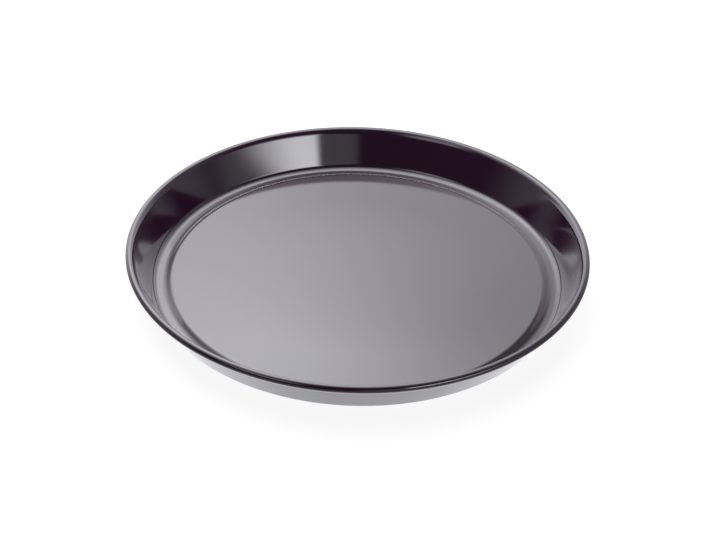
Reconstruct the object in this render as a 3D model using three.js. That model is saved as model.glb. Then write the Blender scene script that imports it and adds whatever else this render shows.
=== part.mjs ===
// Round enamelled baking tray, in millimetres, +Z up, origin at the middle of its base.
// One steel sheet is drawn to a shallow pan whose raised floor sits inside a round channel. The rim is curled
// outwards round a wire. Enamel covers the upper face of the sheet, over the rim bead and round the cut edge,
// and the lower face as far as the mouth of the curl.

import * as THREE from 'three';

// Driving sizes
const RIM_DIAMETER = 270;        // across the outside of the enamelled rim bead
const TRAY_HEIGHT = 25;          // from the table to the top of the rim bead
const FOOT_DIAMETER = 233.8;     // circle where the flat bottom of the channel turns up into the wall
const CHANNEL_FLAT = 1.6;        // width of the flat ring on which the tray stands
const FLOOR_DIAMETER = 216.4;    // raised floor inside the channel
const FLAT_DIAMETER = 160;       // flat middle of the floor
const FLOOR_RISE = 1.5;          // flat middle above the bottom of the channel
const FLOOR_EDGE_SLOPE = 1.6;    // degrees, reached by the floor as it sweeps up to its edge

// Sheet, coats and wire
const SHEET = 0.6;               // drawn steel
const ENAMEL = 0.15;             // fired coat on each face
const BOND_LINE = 0.01;          // oxide bond between the steel and each coat
const WIRE_DIAMETER = 2.5;       // ring rolled into the rim
const WIRE_CLEARANCE = 0.15;     // between the wire and the curl round it
const CURL_MOUTH = 0.35;         // left open between the turned-in edge and the outer wall

// Bends, as radii of the middle of the sheet
const STEP_BEND = 6.5;           // floor turning down into the channel, and the foot of that slope
const FOOT_BEND = 5.4;           // channel turning up into the wall

// How finely the round stretches are drawn
const TURN_SIDES = 64;           // facets round the tray
const SWEEP_STEPS = 2;
const STEP_BEND_STEPS = 3;
const FOOT_BEND_STEPS = 3;
const CURL_STEPS = 10;
const WIRE_SIDES = 8;

// Finishes
const ENAMEL_COLOUR = 0x2e2129;
const STEEL_COLOUR = 0x8d8f92;
const WIRE_COLOUR = 0x9a9c9f;

// Heights above the middle of the sheet, square to it: the bare steel, the near and the far side of a coat.
const steelFace = SHEET / 2;
const coatBack = steelFace + BOND_LINE;
const coatFace = coatBack + ENAMEL;

// A bend turns the sheet from one slope to another round a centre. A cupped bend has its centre above the sheet,
// a crowned bend has it below. A slope is the angle of the sheet above the table, going outwards.
function bendPoints({ r, z, radius, cupped, from, to, steps }, above) {
  const reach = cupped ? above - radius : above + radius;
  return Array.from({ length: steps + 1 }, (_, i) => {
    const slope = from + ((to - from) * i) / steps;
    return new THREE.Vector2(r - reach * Math.sin(slope), z + reach * Math.cos(slope));
  });
}

// Slope of the straight stretch that touches two opposite bends, falling or rising between them.
function straightSlope(first, second, rises) {
  const across = second.r - first.r;
  const up = second.z - first.z;
  const turn = Math.asin(Math.min(1, (first.radius + second.radius) / Math.hypot(across, up)));
  return Math.atan2(up, across) + (rises ? turn : -turn);
}

// A point moved along the sheet, outwards for a positive distance.
function along(point, slope, distance) {
  return new THREE.Vector2(point.x + distance * Math.cos(slope), point.y + distance * Math.sin(slope));
}

// The floor is flat in the middle and sweeps up to its edge.
const channelHeight = coatFace;
const floorHeight = channelHeight + FLOOR_RISE;
const sweepSlope = THREE.MathUtils.degToRad(FLOOR_EDGE_SLOPE);
const sweepRadius = (FLOOR_DIAMETER - FLAT_DIAMETER) / 2 / Math.sin(sweepSlope);
const sweep = { r: FLAT_DIAMETER / 2, z: floorHeight + sweepRadius, radius: sweepRadius, cupped: true };

// Step down to the channel: a crowned bend and a cupped one, no larger than the step has room for.
const channelStart = FOOT_DIAMETER / 2 - CHANNEL_FLAT;
const stepRun = channelStart - FLOOR_DIAMETER / 2;
const stepFall = sweep.z - sweepRadius * Math.cos(sweepSlope) - channelHeight;
const stepTurn = stepRun * Math.sin(sweepSlope) + stepFall * (1 + Math.cos(sweepSlope));
const stepRadius = Math.min(STEP_BEND, (stepRun ** 2 + stepFall ** 2) / (2 * stepTurn));
const floorEdge = {
  r: FLOOR_DIAMETER / 2 + stepRadius * Math.sin(sweepSlope),
  z: sweep.z - (sweepRadius + stepRadius) * Math.cos(sweepSlope),
  radius: stepRadius,
  cupped: false,
};
const channelEdge = { r: channelStart, z: channelHeight + stepRadius, radius: stepRadius, cupped: true };
const stepSlope = straightSlope(floorEdge, channelEdge, false);

// The wall runs straight from the foot bend to the curl of the rim.
const beadRadius = WIRE_DIAMETER / 2 + WIRE_CLEARANCE + SHEET / 2 + coatFace;
const curlRadius = beadRadius - coatFace;
const curlCentre = { r: RIM_DIAMETER / 2 - beadRadius, z: TRAY_HEIGHT - beadRadius };
const foot = { r: FOOT_DIAMETER / 2, z: channelHeight + FOOT_BEND, radius: FOOT_BEND, cupped: true };
const curl = { ...curlCentre, radius: curlRadius, cupped: false };
const wallSlope = straightSlope(foot, curl, true);

// The curl closes until the enamel round its cut edge is a mouth's width from the enamel of the outer wall.
const edgeWrap = BOND_LINE + ENAMEL;
const mouthDepth = curlRadius - coatFace - CURL_MOUTH;
const edgeReach = Math.hypot(beadRadius, edgeWrap);
const curlTurn = 2 * Math.PI - Math.acos(mouthDepth / edgeReach) - Math.atan2(edgeWrap, beadRadius);
const curlEnd = wallSlope - curlTurn;

const floorSweep = { ...sweep, from: 0, to: sweepSlope, steps: SWEEP_STEPS };
const panBends = [
  { ...floorEdge, from: sweepSlope, to: stepSlope, steps: STEP_BEND_STEPS },
  { ...channelEdge, from: stepSlope, to: 0, steps: STEP_BEND_STEPS },
  { ...foot, from: 0, to: wallSlope, steps: FOOT_BEND_STEPS },
];
const curlBend = { ...curl, from: wallSlope, to: curlEnd, steps: CURL_STEPS };

// One side of the sheet from the axis up to the rim, round the curl, and both together. The sweep ends where the
// floor's edge starts, so that shared point is left to the edge.
function panSide(above) {
  const middle = new THREE.Vector2(0, floorHeight + above);
  const floor = bendPoints(floorSweep, above).slice(0, -1);
  return [middle, ...floor, ...panBends.flatMap((each) => bendPoints(each, above))];
}
const curlSide = (above) => bendPoints(curlBend, above);
const wholeSide = (above) => [...panSide(above), ...curlSide(above)];

// A solid turned about the upright axis from a closed outline, given with its lower side first.
function turned(name, outline, finish) {
  const geometry = new THREE.LatheGeometry(outline, TURN_SIDES);
  geometry.rotateX(Math.PI / 2);
  const mesh = new THREE.Mesh(geometry, new THREE.MeshStandardMaterial(finish));
  mesh.name = name;
  return mesh;
}

const steelPressing = turned(
  'steel_pressing',
  [...wholeSide(-steelFace), ...wholeSide(steelFace).reverse()],
  { color: STEEL_COLOUR, roughness: 0.45, metalness: 1 },
);

// The upper coat wraps the cut edge of the curl and ends flush with the lower face of the sheet.
const pastEdge = (above, distance) => along(curlSide(above).at(-1), curlEnd, distance);
const wrapOutline = [
  pastEdge(coatBack, BOND_LINE),
  pastEdge(-steelFace, BOND_LINE),
  pastEdge(-steelFace, edgeWrap),
  pastEdge(coatFace, edgeWrap),
];
const innerEnamelCoat = turned(
  'inner_enamel_coat',
  [...wholeSide(coatBack), ...wrapOutline, ...wholeSide(coatFace).reverse()],
  { color: ENAMEL_COLOUR, roughness: 0.08, metalness: 0 },
);

// The lower coat runs up the outer wall into the mouth of the curl and stops short of the wire.
const wireRadius = WIRE_DIAMETER / 2;
const coatTop = (above) => along(curlSide(above)[0], wallSlope, -(wireRadius + WIRE_CLEARANCE));
const outerEnamelCoat = turned(
  'outer_enamel_coat',
  [...panSide(-coatFace), coatTop(-coatFace), coatTop(-coatBack), ...panSide(-coatBack).reverse()],
  { color: ENAMEL_COLOUR, roughness: 0.12, metalness: 0 },
);

const wireOutline = Array.from({ length: WIRE_SIDES + 1 }, (_, i) => {
  const angle = (2 * Math.PI * (i % WIRE_SIDES)) / WIRE_SIDES;
  return new THREE.Vector2(curl.r + wireRadius * Math.cos(angle), curl.z + wireRadius * Math.sin(angle));
});
const rimWire = turned('rim_wire', wireOutline, { color: WIRE_COLOUR, roughness: 0.4, metalness: 1 });

const tray = new THREE.Group();
tray.add(steelPressing, rimWire, innerEnamelCoat, outerEnamelCoat);

export default tray;
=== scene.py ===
"""Looks of a round enamelled baking tray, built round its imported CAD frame.

The tray stands on z = 0 with its axis on Z. Its sizes are in millimetres, and the studio's in metres.
"""

from collections import namedtuple
from math import acos, asin, atan2, cos, hypot, pi, radians, sin

import bpy
import numpy as np
from mathutils import Matrix, Vector


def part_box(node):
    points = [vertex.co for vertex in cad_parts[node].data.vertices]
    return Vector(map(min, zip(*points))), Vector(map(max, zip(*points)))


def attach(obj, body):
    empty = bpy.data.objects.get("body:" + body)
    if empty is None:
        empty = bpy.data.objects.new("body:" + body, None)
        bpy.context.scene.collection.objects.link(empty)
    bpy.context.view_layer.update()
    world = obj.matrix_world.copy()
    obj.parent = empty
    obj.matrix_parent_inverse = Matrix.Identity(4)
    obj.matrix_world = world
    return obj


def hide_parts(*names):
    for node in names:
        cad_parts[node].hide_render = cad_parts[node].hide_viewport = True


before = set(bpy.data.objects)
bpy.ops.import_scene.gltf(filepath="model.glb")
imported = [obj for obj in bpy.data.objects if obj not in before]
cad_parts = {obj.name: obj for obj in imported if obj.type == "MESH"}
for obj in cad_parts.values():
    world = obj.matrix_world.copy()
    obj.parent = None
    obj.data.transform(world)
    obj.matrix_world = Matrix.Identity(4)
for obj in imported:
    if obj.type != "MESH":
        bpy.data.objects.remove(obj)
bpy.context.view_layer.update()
scene = bpy.context.scene

MM = 0.001

# Sizes of the pressed sheet, in millimetres
FOOT_RADIUS = 116.9         # where the flat bottom of the channel turns up into the wall
CHANNEL_FLAT = 1.6          # width of the flat ring on which the tray stands
FLOOR_RADIUS = 108.8        # raised floor inside the channel
FLAT_RADIUS = 80.0          # flat middle of the floor
FLOOR_RISE = 1.5            # flat middle above the bottom of the channel
FLOOR_EDGE_SLOPE = radians(2.2)     # to which the floor rises before its edge turns down
EDGE_BEND = 3.4             # radii of the bends, at the middle of the sheet
CHANNEL_BEND = 7.2
FOOT_BEND = 5.4
FLARE_BEND = 9.0            # wall easing outwards into the curl
FLARE_SLOPE = radians(46)   # reached where the curl takes over
SHEET = 0.6                 # thickness of the steel
ENAMEL = 0.15               # thickness of a coat
BOND_LINE = 0.01            # between the steel and a coat
EDGE_WRAP = BOND_LINE + ENAMEL      # how far the inner coat reaches past the cut edge of the curl
WIRE_CLEARANCE = 0.15       # between the wire and the curl
CURL_MOUTH = 0.35           # between the enamel of the wall and that round the cut edge

# The rim wire's box in the frame gives the place and thickness of the wire, and so of the curl round it.
wire_low, wire_high = (np.array(corner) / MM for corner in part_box("rim_wire"))
WIRE_RADIUS = (wire_high[2] - wire_low[2]) / 2
CURL_R = wire_high[0] - WIRE_RADIUS
CURL_Z = (wire_high[2] + wire_low[2]) / 2

# Distances from the middle of the sheet, square to it: bare steel, back and face of a coat
STEEL_FACE = SHEET / 2
COAT_BACK = STEEL_FACE + BOND_LINE
COAT_FACE = COAT_BACK + ENAMEL

# How finely the surfaces are drawn
TURN_STEPS = 400            # once round the tray
WIRE_STEPS = 32             # once round the wire
MIDDLE_STEPS = 10           # from the axis to the end of the flat middle
FINE, COARSE = 1.0, 0.3     # share of the steps on a side that shows, and on a hidden one
SHARP_CORNER = radians(40)  # faces that meet at more than this keep a hard edge

# A bend turns the sheet round a centre (r, z) from its first to its last slope. Its radius is positive
# where the centre lies above the sheet and negative where it lies below. A slope is the sheet's angle
# above the table, going outwards.
Bend = namedtuple("Bend", "r z radius first last steps")


def bend_points(bend, above, detail):
    """Points of the sheet's side that lies 'above' mm over its middle, along one bend.

    The slope s goes evenly from first to last. Each point is at (r - k sin s, z + k cos s), where k is
    the height 'above' minus the radius.
    """
    reach = above - bend.radius
    slope = np.linspace(bend.first, bend.last, max(2, round(bend.steps * detail)) + 1)
    return np.column_stack([bend.r - reach * np.sin(slope), bend.z + reach * np.cos(slope)])


def straight_slope(first, second):
    """Slope of the straight stretch that touches two bends, each given as (r, z, radius).

    It is the slope of the line between the centres, plus the angle whose sine is the difference of the
    radii over the distance of the centres.
    """
    across, up = second[0] - first[0], second[1] - first[1]
    return atan2(up, across) + asin((first[2] - second[2]) / hypot(across, up))


def sheet_bends():
    """The bends of the sheet, going outwards: sweep, floor edge, channel, foot, flare and curl.

    Each is placed to touch the flat or the bend before it, and a straight stretch joins the two bends of
    the step and those of the wall.
    """
    channel_z = COAT_FACE
    floor_z = channel_z + FLOOR_RISE
    sweep_radius = (FLOOR_RADIUS - FLAT_RADIUS) / sin(FLOOR_EDGE_SLOPE)
    sweep = (FLAT_RADIUS, floor_z + sweep_radius, sweep_radius)
    edge = (
        FLOOR_RADIUS + EDGE_BEND * sin(FLOOR_EDGE_SLOPE),
        sweep[1] - (sweep_radius + EDGE_BEND) * cos(FLOOR_EDGE_SLOPE),
        -EDGE_BEND,
    )
    channel = (FOOT_RADIUS - CHANNEL_FLAT, channel_z + CHANNEL_BEND, CHANNEL_BEND)
    foot = (FOOT_RADIUS, channel_z + FOOT_BEND, FOOT_BEND)
    curl_radius = WIRE_RADIUS + WIRE_CLEARANCE + STEEL_FACE
    curl = (CURL_R, CURL_Z, -curl_radius)
    wider = FLARE_BEND - curl_radius
    flare = (CURL_R + wider * sin(FLARE_SLOPE), CURL_Z - wider * cos(FLARE_SLOPE), -FLARE_BEND)
    step_slope = straight_slope(edge, channel)
    wall_slope = straight_slope(foot, flare)
    # The cut edge of the curl ends where it does in the frame, whose wall runs straight up to the curl.
    # There the enamel round the edge is a mouth's width from the enamel of that wall.
    bead = curl_radius + COAT_FACE
    mouth = curl_radius - COAT_FACE - CURL_MOUTH
    curl_turn = 2 * pi - acos(mouth / hypot(bead, EDGE_WRAP)) - atan2(EDGE_WRAP, bead)
    curl_end = straight_slope(foot, curl) - curl_turn
    return (
        Bend(*sweep, 0.0, FLOOR_EDGE_SLOPE, steps=14),
        Bend(*edge, FLOOR_EDGE_SLOPE, step_slope, steps=20),
        Bend(*channel, step_slope, 0.0, steps=20),
        Bend(*foot, 0.0, wall_slope, steps=26),
        Bend(*flare, wall_slope, FLARE_SLOPE, steps=14),
        Bend(*curl, FLARE_SLOPE, curl_end, steps=44),
    )


BENDS = sheet_bends()
FLARE, CURL = BENDS[-2:]


def pan_side(above, detail):
    """One side of the sheet from the axis to the top of the foot bend, the floor's middle first."""
    middle_r = np.linspace(0.0, FLAT_RADIUS, round(MIDDLE_STEPS * detail) + 1)[:-1]
    middle = np.column_stack([middle_r, np.full_like(middle_r, COAT_FACE + FLOOR_RISE + above)])
    sweep = bend_points(BENDS[0], above, detail)[:-1]
    return np.vstack([middle, sweep] + [bend_points(bend, above, detail) for bend in BENDS[1:-2]])


def whole_side(above, detail):
    """One side of the sheet from the axis up the wall and round the curl."""
    flare = bend_points(FLARE, above, detail)[:-1]
    return np.vstack([pan_side(above, detail), flare, bend_points(CURL, above, detail)])


def past_edge(above, distance):
    """The point that lies a distance past the cut edge of the curl, along the sheet."""
    return bend_points(CURL, above, FINE)[-1] + distance * np.array([cos(CURL.last), sin(CURL.last)])


def placed(name, data):
    """A new object at the origin of the scene."""
    thing = bpy.data.objects.new(name, data)
    scene.collection.objects.link(thing)
    return thing


def turned(name, outline, ring=False):
    """Surface of revolution of an outline of (r, z) points in mm: x = r cos t, y = r sin t, t once round.

    The outline starts and ends on the axis, where each end is one vertex with a fan of triangles. A
    ring's outline stays off the axis and closes on itself. The inside lies to the left of the outline's
    direction.
    """
    rows = outline if ring else outline[1:-1]
    turn = np.linspace(0.0, 2 * pi, TURN_STEPS, endpoint=False)
    r, z = rows[:, 0], rows[:, 1]
    grid = np.stack([
        np.outer(np.cos(turn), r),
        np.outer(np.sin(turn), r),
        np.outer(np.ones_like(turn), z),
    ], -1)
    count = len(rows)
    here = np.arange(TURN_STEPS)[:, None] * count
    there = np.roll(here, -1, axis=0)
    row = np.arange(count if ring else count - 1)[None, :]
    after = (row + 1) % count
    quads = np.stack([here + row, there + row, there + after, here + after], -1).reshape(-1, 4)
    points, faces = grid.reshape(-1, 3), quads.tolist()
    if not ring:
        poles = np.array([[0.0, 0.0, outline[0, 1]], [0.0, 0.0, outline[-1, 1]]])
        first_pole, last_pole = len(points), len(points) + 1
        points = np.vstack([points, poles])
        first, second = here[:, 0], there[:, 0]
        last = count - 1
        faces += np.column_stack([np.full(TURN_STEPS, first_pole), second, first]).tolist()
        faces += np.column_stack([np.full(TURN_STEPS, last_pole), first + last, second + last]).tolist()
    mesh = bpy.data.meshes.new(name)
    mesh.from_pydata(points * MM, [], faces)
    mesh.shade_smooth()
    mesh.set_sharp_from_angle(angle=SHARP_CORNER)
    return placed(name, mesh)


# Pieces
steel_outline = np.vstack([whole_side(-STEEL_FACE, COARSE), whole_side(STEEL_FACE, COARSE)[::-1]])
round_edge = [
    past_edge(COAT_BACK, BOND_LINE),
    past_edge(-STEEL_FACE, BOND_LINE),
    past_edge(-STEEL_FACE, EDGE_WRAP),
    past_edge(COAT_FACE, EDGE_WRAP),
]
inner_outline = np.vstack([whole_side(COAT_BACK, COARSE), round_edge, whole_side(COAT_FACE, FINE)[::-1]])
# The outer coat stops halfway up the flare, in the mouth of the curl and short of the wire.
coat_end = FLARE._replace(last=(FLARE.first + FLARE.last) / 2)
outer_outline = np.vstack([
    pan_side(-COAT_FACE, FINE),
    bend_points(coat_end, -COAT_FACE, FINE),
    bend_points(coat_end, -COAT_BACK, COARSE)[::-1],
    pan_side(-COAT_BACK, COARSE)[::-1],
])
round_wire = np.linspace(0.0, 2 * pi, WIRE_STEPS, endpoint=False)
wire_circle = WIRE_RADIUS * np.column_stack([np.cos(round_wire), np.sin(round_wire)])
wire_outline = np.array([CURL_R, CURL_Z]) + wire_circle

pieces = {
    "steel_pressing": turned("drawn_steel_tray", steel_outline),
    "rim_wire": turned("rolled_in_wire", wire_outline, ring=True),
    "inner_enamel_coat": turned("inner_enamel", inner_outline),
    "outer_enamel_coat": turned("outer_enamel", outer_outline),
}
for node_name, piece in pieces.items():
    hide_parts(node_name)
    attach(piece, "root")


# Materials
def colour(hex_code):
    """Linear RGBA of an sRGB hex colour."""
    srgb = np.array([int(hex_code[i:i + 2], 16) for i in (0, 2, 4)]) / 255
    linear = np.where(srgb <= 0.04045, srgb / 12.92, ((srgb + 0.055) / 1.055) ** 2.4)
    return (*linear.tolist(), 1.0)


def add(tree, kind, inputs=None, **settings):
    """Add a node with its own settings. An input is a value, or the output of another node to link."""
    node = tree.nodes.new(kind)
    for key, value in settings.items():
        setattr(node, key, value)
    for key, value in (inputs or {}).items():
        if isinstance(value, bpy.types.NodeSocket):
            tree.links.new(value, node.inputs[key])
        else:
            node.inputs[key].default_value = value
    return node


def shaded(name):
    """A new material with only its output node, and its tree."""
    material = bpy.data.materials.new(name)
    material.use_nodes = True
    tree = material.node_tree
    tree.nodes.clear()
    return material, tree, add(tree, "ShaderNodeOutputMaterial")


def per_metre(size_mm):
    """Scale of a texture on Object coordinates whose features are about size_mm across."""
    return 1 / (size_mm * MM)


THICK_GLASS, THIN_GLASS = "2B102A", "361532"
ENAMEL_IOR = 1.65           # a dense glass
DRIFT_SIZE = 45.0           # patches in which the glass is thicker, in mm
PEEL_SIZE = 4.0             # waves of the orange peel, in mm
GLOSS_SPREAD = 0.15         # share by which the gloss drifts with the thickness


def fired_enamel(name, roughness, peel_height):
    """Vitreous enamel, a dark glass fused to the steel: plum-black, glossy, with a faint orange peel.

    The glass has its own reflection over that of the ground coat under it, so it reflects about twice as
    much as one surface would. Its colour drifts a little where the glass is thicker. The height of the
    peel is in mm.
    """
    material, tree, output = shaded(name)
    place = add(tree, "ShaderNodeTexCoord").outputs["Object"]
    drift = add(tree, "ShaderNodeTexNoise", {"Vector": place, "Scale": per_metre(DRIFT_SIZE), "Detail": 2.0})
    tint = add(
        tree, "ShaderNodeMix",
        {"Factor": drift.outputs["Fac"], "A": colour(THICK_GLASS), "B": colour(THIN_GLASS)},
        data_type="RGBA",
    )
    gloss = add(tree, "ShaderNodeMapRange", {
        "Value": drift.outputs["Fac"],
        "To Min": roughness * (1 - GLOSS_SPREAD),
        "To Max": roughness * (1 + GLOSS_SPREAD),
    })
    peel = add(tree, "ShaderNodeTexNoise", {"Vector": place, "Scale": per_metre(PEEL_SIZE), "Detail": 1.0})
    bump = add(tree, "ShaderNodeBump", {
        "Height": peel.outputs["Fac"],
        "Distance": peel_height * MM,
        "Strength": 1.0,
    })
    shader = add(tree, "ShaderNodeBsdfPrincipled", {
        "Base Color": tint.outputs["Result"],
        "Roughness": gloss.outputs["Result"],
        "IOR": ENAMEL_IOR,
        "Coat Weight": 1.0,
        "Coat IOR": ENAMEL_IOR,
        "Coat Roughness": roughness,
        "Normal": bump.outputs["Normal"],
        "Coat Normal": bump.outputs["Normal"],
    })
    tree.links.new(shader.outputs["BSDF"], output.inputs["Surface"])
    return material


IRON_SCALE = "55524F"
SCALED_ROUGHNESS, BARE_ROUGHNESS = 0.5, 0.35


def worked_steel(name, hex_code, grain_mm):
    """Bare low-carbon steel, dull from drawing and firing: grey, with fine specks of scale."""
    material, tree, output = shaded(name)
    place = add(tree, "ShaderNodeTexCoord").outputs["Object"]
    scale = add(tree, "ShaderNodeTexNoise", {"Vector": place, "Scale": per_metre(grain_mm), "Detail": 4.0})
    tint = add(
        tree, "ShaderNodeMix",
        {"Factor": scale.outputs["Fac"], "A": colour(IRON_SCALE), "B": colour(hex_code)},
        data_type="RGBA",
    )
    dullness = add(
        tree, "ShaderNodeMapRange",
        {"Value": scale.outputs["Fac"], "To Min": SCALED_ROUGHNESS, "To Max": BARE_ROUGHNESS},
    )
    shader = add(tree, "ShaderNodeBsdfPrincipled", {
        "Base Color": tint.outputs["Result"],
        "Roughness": dullness.outputs["Result"],
        "Metallic": 1.0,
    })
    tree.links.new(shader.outputs["BSDF"], output.inputs["Surface"])
    return material


finishes = {
    "steel_pressing": worked_steel("cold rolled steel, drawn", "8D8F92", grain_mm=1.5),
    "rim_wire": worked_steel("steel wire, drawn", "9A9C9F", grain_mm=0.6),
    "inner_enamel_coat": fired_enamel("vitreous enamel, cover coat", roughness=0.08, peel_height=0.0015),
    "outer_enamel_coat": fired_enamel("vitreous enamel, outer coat", roughness=0.12, peel_height=0.004),
}
for node_name, piece in pieces.items():
    piece.data.materials.append(finishes[node_name])

# Studio
LAMP_COLOUR = (0.94, 0.94, 1.0)     # linear, a touch cool

# The floor is a pale paper sweep. To the eye it glows a little, so that it comes out white and keeps a
# faint shadow. In gloss it shows a painted pool of light round the tray. This is a glow that only
# reflections see, in place of a lit table in a dark studio.
FLOOR_HALF = 6.0                    # half the length of a side
PAPER_GREY = "B4B4B4"
PAPER_GLOW = 0.86                   # to the eye
# Painted pool of light: floor glow round the tray that only reflections see
POOL_GLOW = 1.15                    # in gloss
POOL_RADIUS, POOL_END = 134 * MM, 166 * MM      # where the pool starts to fade, and where it has gone
floor_mesh = bpy.data.meshes.new("paper_floor")
floor_corners = [(x * FLOOR_HALF, y * FLOOR_HALF, 0) for x, y in ((-1, -1), (1, -1), (1, 1), (-1, 1))]
floor_mesh.from_pydata(floor_corners, [], [(0, 1, 2, 3)])
floor = placed("paper_floor", floor_mesh)
paper, paper_tree, paper_output = shaded("white paper, matt")
ray = add(paper_tree, "ShaderNodeLightPath").outputs
place = add(paper_tree, "ShaderNodeTexCoord").outputs["Object"]
from_tray = add(paper_tree, "ShaderNodeVectorMath", {0: place}, operation="LENGTH").outputs["Value"]
# painted pool of light: emission that fades out past the rim, added only for glossy and transmission rays
painted_pool = add(
    paper_tree, "ShaderNodeMapRange",
    {"Value": from_tray, "From Min": POOL_END, "From Max": POOL_RADIUS, "To Max": POOL_GLOW},
    interpolation_type="SMOOTHSTEP",
)
mirrored = add(
    paper_tree, "ShaderNodeMath",
    {0: ray["Is Glossy Ray"], 1: ray["Is Transmission Ray"]},
    operation="MAXIMUM",
)
in_gloss = add(
    paper_tree, "ShaderNodeMath",
    {0: mirrored.outputs[0], 1: painted_pool.outputs[0]},
    operation="MULTIPLY",
)
to_eye = add(paper_tree, "ShaderNodeMath", {0: ray["Is Camera Ray"], 1: PAPER_GLOW}, operation="MULTIPLY")
tinted = add(
    paper_tree, "ShaderNodeMix",
    {"Factor": mirrored.outputs[0], "A": colour("FFFFFF"), "B": (*LAMP_COLOUR, 1)},
    data_type="RGBA",
)
glow = add(paper_tree, "ShaderNodeMath", {0: to_eye.outputs[0], 1: in_gloss.outputs[0]}, operation="ADD")
light = add(
    paper_tree, "ShaderNodeEmission",
    {"Color": tinted.outputs["Result"], "Strength": glow.outputs[0]},
)
matt = add(paper_tree, "ShaderNodeBsdfDiffuse", {"Color": colour(PAPER_GREY)})
both = add(paper_tree, "ShaderNodeAddShader", {0: light.outputs[0], 1: matt.outputs[0]})
paper_tree.links.new(both.outputs[0], paper_output.inputs["Surface"])
floor_mesh.materials.append(paper)

# Right, left, lower and upper edge of a lamp as the tray sees it: axis, place on it and way inwards
LAMP_EDGES = (("X", 0.0, 1), ("X", 1.0, -1), ("Y", 0.0, 1), ("Y", 1.0, -1))


def softbox(name, azimuth, elevation, distance, size, radiance, fade, roll=0.0):
    """A flat lamp that faces the tray, of even brightness 'radiance' away from its edges.

    Azimuth 0 is behind the tray and 90 on its right. size is the lamp's width and height. fade gives the
    shares of these over which the light rises smoothly from nothing at each of its edges. roll turns the
    lamp about the line from the tray to its middle.
    """
    lamp = bpy.data.lights.new(name, "AREA")
    lamp.shape = "RECTANGLE"
    lamp.size, lamp.size_y = size
    lamp.energy = radiance * size[0] * size[1] * pi
    lamp.color = LAMP_COLOUR
    lamp.use_nodes = True
    tree = lamp.node_tree
    sides = add(tree, "ShaderNodeSeparateXYZ", {0: add(tree, "ShaderNodeTexCoord").outputs["UV"]}).outputs
    level = 1.0
    for (axis, edge, inwards), share in zip(LAMP_EDGES, fade):
        brighter = add(
            tree, "ShaderNodeMapRange",
            {"Value": sides[axis], "From Min": edge, "From Max": edge + inwards * share, "To Max": 1.0},
            interpolation_type="SMOOTHSTEP",
        )
        dimmed = add(tree, "ShaderNodeMath", {0: brighter.outputs[0], 1: level}, operation="MULTIPLY")
        level = dimmed.outputs[0]
    tree.links.new(level, tree.nodes["Emission"].inputs["Strength"])
    turn, rise = radians(azimuth), radians(elevation)
    outwards = Vector((sin(turn) * cos(rise), cos(turn) * cos(rise), sin(rise)))
    facing = outwards.to_track_quat("Z", "Y").to_matrix() @ Matrix.Rotation(radians(roll), 3, "Z")
    box = placed(name, lamp)
    box.location = outwards * distance
    box.rotation_euler = facing.to_euler()
    box.visible_camera = False


# The main light, near and high behind the tray, gives the floor its even sheen.
softbox("back_softbox", azimuth=-30.0, elevation=66.0, distance=0.40, size=(0.96, 0.82), radiance=5.5,
        fade=(0.67, 0.55, 0.44, 0.98), roll=-30.0)
# A wide scrim low behind the tray shows in the ring round the floor and in the side walls.
softbox("low_scrim", azimuth=-8.0, elevation=11.0, distance=0.48, size=(2.24, 0.55), radiance=2.15,
        fade=(0.98, 0.60, 0.20, 0.26), roll=-12.0)
# Two lamps in front on the right show in the back wall, as its bright window and the dim band beside it.
softbox("key_softbox", azimuth=131.5, elevation=26.3, distance=1.80, size=(1.70, 0.69), radiance=4.5,
        fade=(0.09, 0.80, 0.05, 0.98), roll=-4.5)
softbox("right_fill", azimuth=136.0, elevation=17.0, distance=1.20, size=(2.17, 0.66), radiance=0.29,
        fade=(0.08, 0.25, 0.10, 0.20))
# A soft fill stands in front on the left.
softbox("left_fill", azimuth=-135.0, elevation=40.0, distance=1.20, size=(0.90, 0.70), radiance=1.00,
        fade=(0.40, 0.40, 0.40, 0.40))

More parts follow.
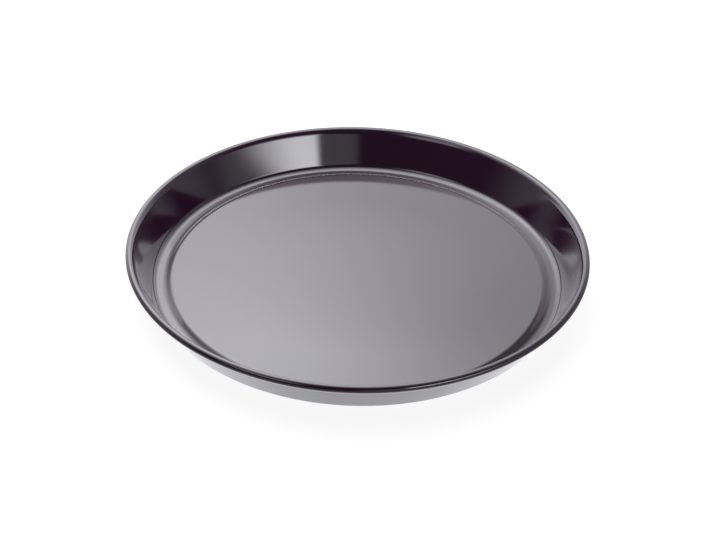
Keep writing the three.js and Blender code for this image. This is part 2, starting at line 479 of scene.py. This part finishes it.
# Room: dark at the camera's side, lighter behind the tray, and white where the eye looks past the floor
ROOM_FRONT, ROOM_BACK = 0.03, 0.25
FRONT_END, BACK_START = -0.4, 0.2       # Y of a direction, where the one level ends and the other starts
room = bpy.data.worlds.new("dim_studio")
room.use_nodes = True
room_tree = room.node_tree
way = add(room_tree, "ShaderNodeTexCoord").outputs["Generated"]
backwards = add(room_tree, "ShaderNodeSeparateXYZ", {0: way}).outputs["Y"]
dimness = add(
    room_tree, "ShaderNodeMapRange",
    {
        "Value": backwards,
        "From Min": FRONT_END,
        "From Max": BACK_START,
        "To Min": ROOM_FRONT,
        "To Max": ROOM_BACK,
    },
    interpolation_type="SMOOTHSTEP",
)
eye = add(room_tree, "ShaderNodeLightPath").outputs["Is Camera Ray"]
brightness = add(room_tree, "ShaderNodeMath", {0: eye, 1: dimness.outputs[0]}, operation="MAXIMUM")
backdrop = room_tree.nodes["Background"]
backdrop.inputs["Color"].default_value = (*LAMP_COLOUR, 1)
room_tree.links.new(brightness.outputs[0], backdrop.inputs["Strength"])
scene.world = room
scene.view_settings.view_transform = "Standard"

# Camera, fitted to the rim's outline in the photograph
IMAGE_WIDTH, IMAGE_HEIGHT = 716, 540
VIEW_DISTANCE = 0.9
VIEW_ELEVATION = radians(35.49)
VIEW_ROLL = radians(1.58)
FOCAL_PIXELS = 1514.5
CENTRE_X, CENTRE_Y = 357.2, 275.95      # pixel at which the middle of the tray's base is seen
SENSOR_WIDTH = 36.0                     # Blender's own, in mm
lens = bpy.data.cameras.new("camera")
lens.sensor_width = SENSOR_WIDTH
lens.lens = SENSOR_WIDTH * FOCAL_PIXELS / IMAGE_WIDTH
lens.shift_x = (IMAGE_WIDTH / 2 - CENTRE_X) / IMAGE_WIDTH
lens.shift_y = (CENTRE_Y - IMAGE_HEIGHT / 2) / IMAGE_WIDTH
camera = placed("camera", lens)
stand = Vector((0, -VIEW_DISTANCE * cos(VIEW_ELEVATION), VIEW_DISTANCE * sin(VIEW_ELEVATION)))
tilt = Matrix.Rotation(pi / 2 - VIEW_ELEVATION, 4, "X") @ Matrix.Rotation(VIEW_ROLL, 4, "Z")
camera.matrix_world = Matrix.Translation(stand) @ tilt
scene.camera = camera
